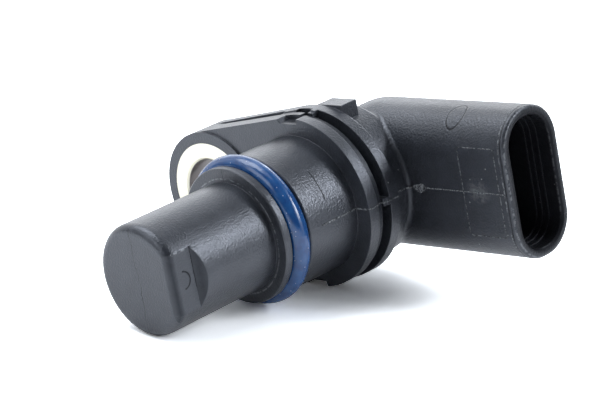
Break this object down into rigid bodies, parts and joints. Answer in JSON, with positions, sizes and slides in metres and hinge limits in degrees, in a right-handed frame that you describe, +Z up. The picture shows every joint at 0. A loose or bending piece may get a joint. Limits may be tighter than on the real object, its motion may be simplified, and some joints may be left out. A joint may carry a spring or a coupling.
{
  "type": "camshaft position sensor",
  "caption": "Camshaft position sensor: stepped shaft with a blue O-ring, cored flange with a steel screw bushing, and a right-angle plug with an oval socket.",
  "frame": {"origin": "middle of the sensing tip's face, on the shaft's axis", "axes": "+Z up from the table the sensor lies on; the shaft runs from the tip along +Y, rising 8.6 degrees; the plug points along +X, rising about 9 degrees"},
  "size_m": [0.0559, 0.0517, 0.0284],
  "materials": {
    "housing": "fine matte, glass-filled",
    "bushing": "turned, plated",
    "o_ring": "smooth, slightly glossy",
    "carrier": "matte",
    "chip": "satin epoxy",
    "magnet": "sintered, plated",
    "terminal": "tin-plated copper alloy",
    "capacitor": "fired ceramic"
  },
  "bodies": {
    "root": {"housing": "housing", "bushing": "bushing", "o_ring": "o_ring", "carrier": "carrier", "hall_ic": "chip", "magnet": "magnet", "terminal_supply": "terminal", "terminal_ground": "terminal", "terminal_signal": "terminal", "capacitor_supply": "capacitor", "capacitor_signal": "capacitor"}
  },
  "joints": []
}
